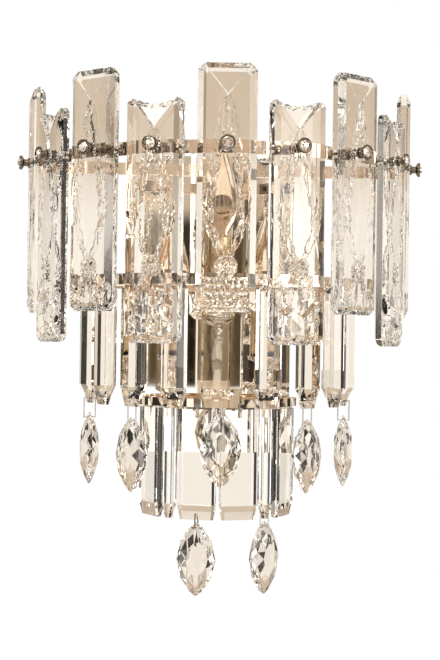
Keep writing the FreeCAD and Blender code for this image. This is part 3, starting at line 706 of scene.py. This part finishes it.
def closed_plate(across, up, face, back, keep):
    """Points and faces: the face, the back turned round, and a wall along every open edge."""
    triangles = grid_triangles(across, up, keep)
    edges = np.concatenate([triangles[:, [0, 1]], triangles[:, [1, 2]], triangles[:, [2, 0]]])
    count = across.size
    code = np.sort(edges, 1) @ np.array([count, 1])
    _, where, times = np.unique(code, return_index=True, return_counts=True)
    start, end = edges[where[times == 1]].T
    walls = np.concatenate([np.stack([start, start + count, end + count], 1),
                            np.stack([start, end + count, end], 1)])
    faces = np.concatenate([triangles, triangles[:, ::-1] + count, walls])
    points = np.stack([np.tile(across.ravel(), 2), np.tile(up.ravel(), 2),
                       np.concatenate([face.ravel(), back.ravel()])], 1)
    used, faces = np.unique(faces, return_inverse=True)
    return points[used], faces.reshape(-1, 3)


def make_slab(place):
    """The slab at one of nine places; odd places stand high, and each has its own chips."""
    rng = np.random.default_rng(100 + place)
    high = place % 2 == 1
    top = KNOB_LEVEL + (HIGH_TOP if high else LOW_TOP)
    foot = brick_foot if place == MIDDLE_PLACE else bell_foot if high else ice_foot
    across, up, outside_hole = round_hole(*slab_grid(top, high))
    face = SLAB_THICK - face_relief(across, up, top, high, foot, rng)
    back = bevel(from_edge(across, top - up))
    thin = np.any(cell_corners(face - back < THINNEST), axis=0)
    points, faces = closed_plate(across, up, face, np.minimum(back, face - THIN_WALL),
                                 outside_hole & ~thin)
    name = f"carved_slab_{place}"
    mesh = bpy.data.meshes.new(name)
    world_points = on_tier(place, points[:, 0], points[:, 2] + SLAB_SEAT, points[:, 1])
    mesh.from_pydata(world_points.tolist(), [], faces.tolist())
    mesh.materials.append(slab_crystal)
    slab = new_object(name, mesh)
    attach(slab, "fixture")
    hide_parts(f"slab_{place}")
    return len(faces)


print(sum(make_slab(place) for place in TIER_PLACES), "facets in nine slabs")

# %% [markdown]
# ## The wall and the sides
#
# Crystal has hardly a colour of its own: it shows what stands round it. White all round would
# leave it invisible on white, so glass is photographed between dark flags. The camera itself
# sees pure white. Every other ray sees a studio that depends only on its direction: a beige wall
# behind the light, a dim line and a black line beside it, which the bevels draw out into their
# dark edges, and further round tall flags between pale and bright panels. Below lies streaked
# ground and above a streaked ceiling, which the cut drops break up into sparks.

# %%
# Wall and sides
BEIGE, DUSK, TAN = (1.0, 0.93, 0.83), (0.66, 0.53, 0.40), (0.42, 0.335, 0.215)
BROWN, BLACK = (0.10, 0.070, 0.040), (0.008, 0.006, 0.004)
WHITE, PEACH, CLOTH = (1.5, 1.44, 1.35), (1.0, 0.83, 0.66), (1.9, 1.95, 2.05)

# Turns are in radians from straight ahead, heights are the Z of the direction.
DUSK_RISES = (0.08, 0.16)
DIM_LINE, BLACK_LINE, FLAGS_START = (0.24, 0.31), (0.38, 0.50), (0.60, 0.64)
GROUND_LEVEL, CEILING_LEVEL = (-0.22, -0.27), (0.36, 0.46)

world = bpy.data.worlds.new("studio")
bpy.context.scene.world = world
world.use_nodes = True
room = Nodes(world.node_tree)
towards = room.add("TexCoord").outputs["Generated"]
parts = room.add("SeparateXYZ", {}, {0: towards}).outputs
across, ahead, height = (Value(room, parts[axis]) for axis in "XYZ")
turn = across.angle_from(ahead)
sideways = turn.absolute()


def between(value, low, high, soft=0.02):
    """1 between two values and 0 outside them, with a soft edge."""
    return value.step(low, low + soft) * (high - value).step(0.0, soft)


def painted(colour, layers):
    """A colour with layers painted over it, each with its cover and its own colour."""
    for cover, paint in layers:
        colour = room.mixed(cover, colour, paint)
    return colour


flags = (turn * 8.0 + 0.5).sine().absolute().step(0.35, 0.6)
bright_panels = (turn * 5.0 + 0.9).sine().step(0.55, 0.8)
paler_right = turn.step(-0.3, 0.3) * height.step(0.0, 0.06) * 0.35
sides = painted(BEIGE, [(bright_panels, WHITE), (flags * (0.97 - paler_right), BLACK)])
ground = room.mixed((turn * 21.0 + height * 4.0).sine().step(-0.2, 0.6), BLACK, BEIGE)
ceiling = room.mixed((turn * 13.0 + height * 3.0).sine().step(0.2, 0.8), BEIGE, BROWN)
wavy_height = height + (height * 9.0 + turn * 2.0).sine() * 0.04
wall = painted(room.mixed(height.step(*DUSK_RISES), BEIGE, DUSK), [
    (between(sideways, *DIM_LINE) * 0.45, BROWN),
    (between(sideways, *BLACK_LINE) * (height.step(0.09, 0.03) * 0.55 + 0.4), BLACK),
    (sideways.step(*FLAGS_START), sides),
    (wavy_height.step(*GROUND_LEVEL), ground),
    (wavy_height.step(*CEILING_LEVEL), ceiling),
])
print("wall and sides ready")

# %% [markdown]
# ## The room behind the camera
#
# The back plate is a mirror that faces the camera, so it shows the room behind it: a dark brown
# wall of fine slats with a few bright and black strips, lighter higher up, a white window high
# above, and a white cloth just below eye level. Modelled things would have to be kept out of
# the picture and of the part, and painting by direction keeps both free of them.

# %%
# Room behind the camera
ROOM_STARTS = (2.6, 2.75)
CLOTH_LEVEL, UNDER_CLOTH = (-0.030, -0.034), (-0.30, -0.42)
LIGHTER_ABOVE, WINDOW_LEVEL = (0.085, 0.10), (0.35, 0.5)

slats = (across * 520.0 + (across * 90.0).sine() * 2.0).sine().step(-0.3, 0.6)
bright_strips = (across * 210.0 + 0.6).sine().step(0.75, 0.95)
black_strips = (across * 131.0).sine().step(0.6, 0.8)
folds = (across * 90.0).sine().step(0.5, 0.95) * 0.2
back_room = painted(BROWN, [
    (slats * (height.step(-0.05, 0.06) * 0.35 + 0.55), TAN),
    (bright_strips * 0.8, BEIGE),
    (black_strips * 0.9, BLACK),
    (height.step(*LIGHTER_ABOVE) * 0.62, PEACH),
    (height.step(*CLOTH_LEVEL), room.mixed(folds, CLOTH, BEIGE)),
    (height.step(*UNDER_CLOTH), BROWN),
    (height.step(*WINDOW_LEVEL), WHITE),
])
seen_by_camera = Value(room, room.add("LightPath").outputs["Is Camera Ray"])
background = world.node_tree.nodes["Background"].inputs
room.feed(background["Color"], painted(wall, [
    (sideways.step(*ROOM_STARTS), back_room), (seen_by_camera, (1.0, 1.0, 1.0))]))
room.feed(background["Strength"], 1.0)
print("room ready")

# %% [markdown]
# ## Lamps
#
# The surroundings light the piece already. Two soft panels in front of it, one strong on the left
# and one weak on the right, add the highlights that a small bright lamp gives to metal. Points or
# spots would burn hard dots into the crystal, so they are areas, hidden from the camera.

# %%
# Lamps
LAMP_COLOUR = (1.0, 0.97, 0.93)
LAMP_AIM = Vector((0, -0.1, 0))


def add_area(name, place, size, watts):
    """A soft light panel that faces the piece and isn't seen by the camera."""
    lamp = bpy.data.lights.new(name, "AREA")
    lamp.size = size
    lamp.energy = watts
    lamp.color = LAMP_COLOUR
    panel = new_object(name, lamp)
    panel.location = place
    panel.rotation_euler = (LAMP_AIM - Vector(place)).to_track_quat("-Z", "Y").to_euler()
    panel.visible_camera = False


add_area("key", (-1.1, -1.5, 1.2), 0.9, 12)
add_area("fill", (1.3, -1.2, 0.3), 0.8, 6)
print("lamps ready")

# %% [markdown]
# ## Floor
#
# A wall light has no floor of its own, but in a view from another side something has to say
# where down is. A plain pale disc well below the light does, outside the main picture.

# %%
# Floor
FLOOR_RADIUS, FLOOR_CENTRE, FLOOR_LEVEL, FLOOR_CORNERS = 1.2, -0.1, -0.92, 64


def make_floor():
    """A disc: (r cos a, r sin a + centre, level)."""
    turns = np.linspace(0, 2 * math.pi, FLOOR_CORNERS, endpoint=False)
    rim = np.stack([FLOOR_RADIUS * np.cos(turns), FLOOR_RADIUS * np.sin(turns) + FLOOR_CENTRE,
                    np.full(FLOOR_CORNERS, FLOOR_LEVEL)], 1)
    mesh = bpy.data.meshes.new("floor")
    mesh.from_pydata(rim.tolist(), [], [list(range(FLOOR_CORNERS))])
    material, tree, shader = new_material("floor_paint", Roughness=0.7)
    grain = tree.noise(tree.place(), 30.0, 4.0)
    tree.feed(shader.inputs["Base Color"],
              tree.mixed(grain, (0.86, 0.85, 0.83), (0.90, 0.89, 0.87)))
    mesh.materials.append(material)
    new_object("floor", mesh)


make_floor()
print("floor ready")

# %% [markdown]
# ## Camera
#
# A level view from a little left of the middle, a metre and a half away, turned and tilted by the
# small angles that bring the knobs, rings and drops to their places in the picture. Those angles
# are easier to find one by one than a camera that tracks a point, so each has its own name.

# %%
# Camera
CAMERA_PLACE = (-47.5 * MM, -1400.0 * MM, -39.7 * MM)
TURN_DEG, PITCH_DEG, ROLL_DEG = 2.082, 0.574, 0.81
LENS = 75.14


def add_camera():
    """Turn is to the right of +Y, pitch is up, roll is clockwise as seen in the picture."""
    turn, pitch, roll = (math.radians(angle) for angle in (TURN_DEG, PITCH_DEG, ROLL_DEG))
    forward = Vector((math.sin(turn) * math.cos(pitch), math.cos(turn) * math.cos(pitch),
                      math.sin(pitch)))
    level = Vector((math.cos(turn), -math.sin(turn), 0.0))
    upright = level.cross(forward)
    right = level * math.cos(roll) + upright * math.sin(roll)
    up = upright * math.cos(roll) - level * math.sin(roll)
    camera = new_object("camera", bpy.data.cameras.new("camera"))
    camera.data.lens = LENS
    axes = Matrix((right, up, -forward)).transposed().to_4x4()
    camera.matrix_world = Matrix.Translation(CAMERA_PLACE) @ axes
    bpy.context.scene.camera = camera


add_camera()
scene = bpy.context.scene
scene.view_settings.view_transform = "Standard"
scene.cycles.max_bounces = 32
scene.cycles.transmission_bounces = 28
scene.cycles.glossy_bounces = 10
scene.cycles.transparent_max_bounces = 24
print("camera ready")
